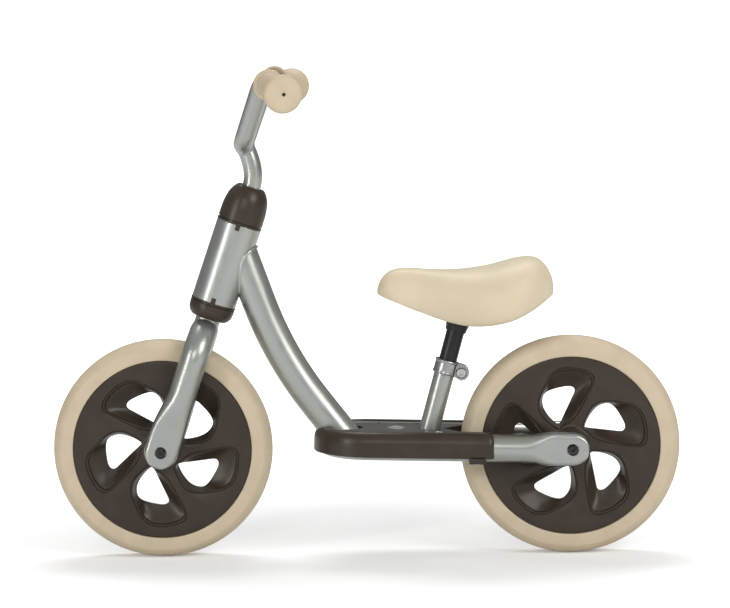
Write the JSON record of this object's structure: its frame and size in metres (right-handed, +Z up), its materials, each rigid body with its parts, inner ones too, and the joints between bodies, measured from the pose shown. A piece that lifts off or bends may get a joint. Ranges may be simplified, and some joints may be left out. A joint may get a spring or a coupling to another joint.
{
  "type": "balance bike",
  "caption": "Child's balance bike: curved-tube frame with a footboard, foam tyres on spoked plastic wheels, a riser handlebar and a saddle on a sliding post.",
  "frame": {"origin": "on the ground, midway between the two wheels, in the bike's middle plane", "axes": "+X forwards to the front wheel, +Y to the rider's left, +Z up"},
  "size_m": [0.726, 0.3668, 0.5647],
  "materials": {
    "silver_paint": "fine metallic silver paint under gloss lacquer",
    "brown_plastic": "satin moulded dark brown plastic",
    "tyre_foam": "solid cream EVA foam with a matte moulded skin",
    "grip_rubber": "soft cream rubber, satin",
    "saddle_skin": "self-skinned cream polyurethane foam, satin",
    "bushing_nylon": "grey nylon",
    "black_paint": "satin black paint",
    "black_screw": "black oxide",
    "clamp_aluminium": "cast and tumbled aluminium",
    "bare_steel": "zinc-plated steel"
  },
  "bodies": {
    "frame": {"base_tube": "silver_paint", "front_bridge_plate": "silver_paint", "rear_bridge_plate": "silver_paint", "footboard": "brown_plastic", "footboard_disc": "silver_paint", "footboard_top_screw_left": "bare_steel", "footboard_top_screw_right": "bare_steel", "footboard_tab_screw_left": "bare_steel", "footboard_tab_screw_right": "bare_steel", "rear_axle": "bare_steel", "rear_axle_spacer_left": "bare_steel", "rear_axle_spacer_right": "bare_steel", "rear_axle_screw_left": "black_screw", "rear_axle_screw_right": "black_screw", "down_tube": "silver_paint", "head_tube": "silver_paint", "head_upper_cap": "brown_plastic", "head_lower_cap": "brown_plastic", "head_upper_bushing": "bushing_nylon", "head_lower_bushing": "bushing_nylon", "seat_tube": "silver_paint", "seat_clamp_collar": "clamp_aluminium", "seat_clamp_bolt": "bare_steel", "seat_clamp_nut": "bare_steel"},
    "steering": {"fork": "silver_paint", "steerer_tube": "silver_paint", "fork_crown_race": "bare_steel", "steerer_clamp": "bare_steel", "steerer_clamp_bolt": "bare_steel", "handlebar_stem": "silver_paint", "handlebar": "silver_paint", "grip_left": "grip_rubber", "grip_right": "grip_rubber", "front_axle": "bare_steel", "front_axle_spacer_left": "bare_steel", "front_axle_spacer_right": "bare_steel", "front_axle_screw_left": "black_screw", "front_axle_screw_right": "black_screw"},
    "front_wheel": {"front_tyre": "tyre_foam", "front_rim": "brown_plastic", "front_bearing_left": "bare_steel", "front_bearing_right": "bare_steel", "front_bearing_sleeve": "bare_steel"},
    "rear_wheel": {"rear_tyre": "tyre_foam", "rear_rim": "brown_plastic", "rear_bearing_left": "bare_steel", "rear_bearing_right": "bare_steel", "rear_bearing_sleeve": "bare_steel"},
    "seat": {"seat_post": "black_paint", "saddle_socket": "black_paint", "saddle_base_plate": "brown_plastic", "saddle": "saddle_skin", "saddle_screw_left": "bare_steel", "saddle_screw_right": "bare_steel"}
  },
  "joints": [
    {"name": "steering_turn", "type": "hinge", "parent": "frame", "child": "steering", "pos_m": [0.17494, 0, 0.29635], "axis": [-0.3256, 0, 0.9455], "range_deg": [-60, 60]},
    {"name": "front_wheel_spin", "type": "hinge", "parent": "steering", "child": "front_wheel", "pos_m": [0.236, 0, 0.127], "axis": [0, 1, 0], "continuous": true},
    {"name": "rear_wheel_spin", "type": "hinge", "parent": "frame", "child": "rear_wheel", "pos_m": [-0.236, 0, 0.127], "axis": [0, 1, 0], "continuous": true},
    {"name": "seat_post_slide", "type": "slide", "parent": "frame", "child": "seat", "axis": [-0.2639, 0, 0.9646], "range_m": [-0.03, 0.04]}
  ]
}
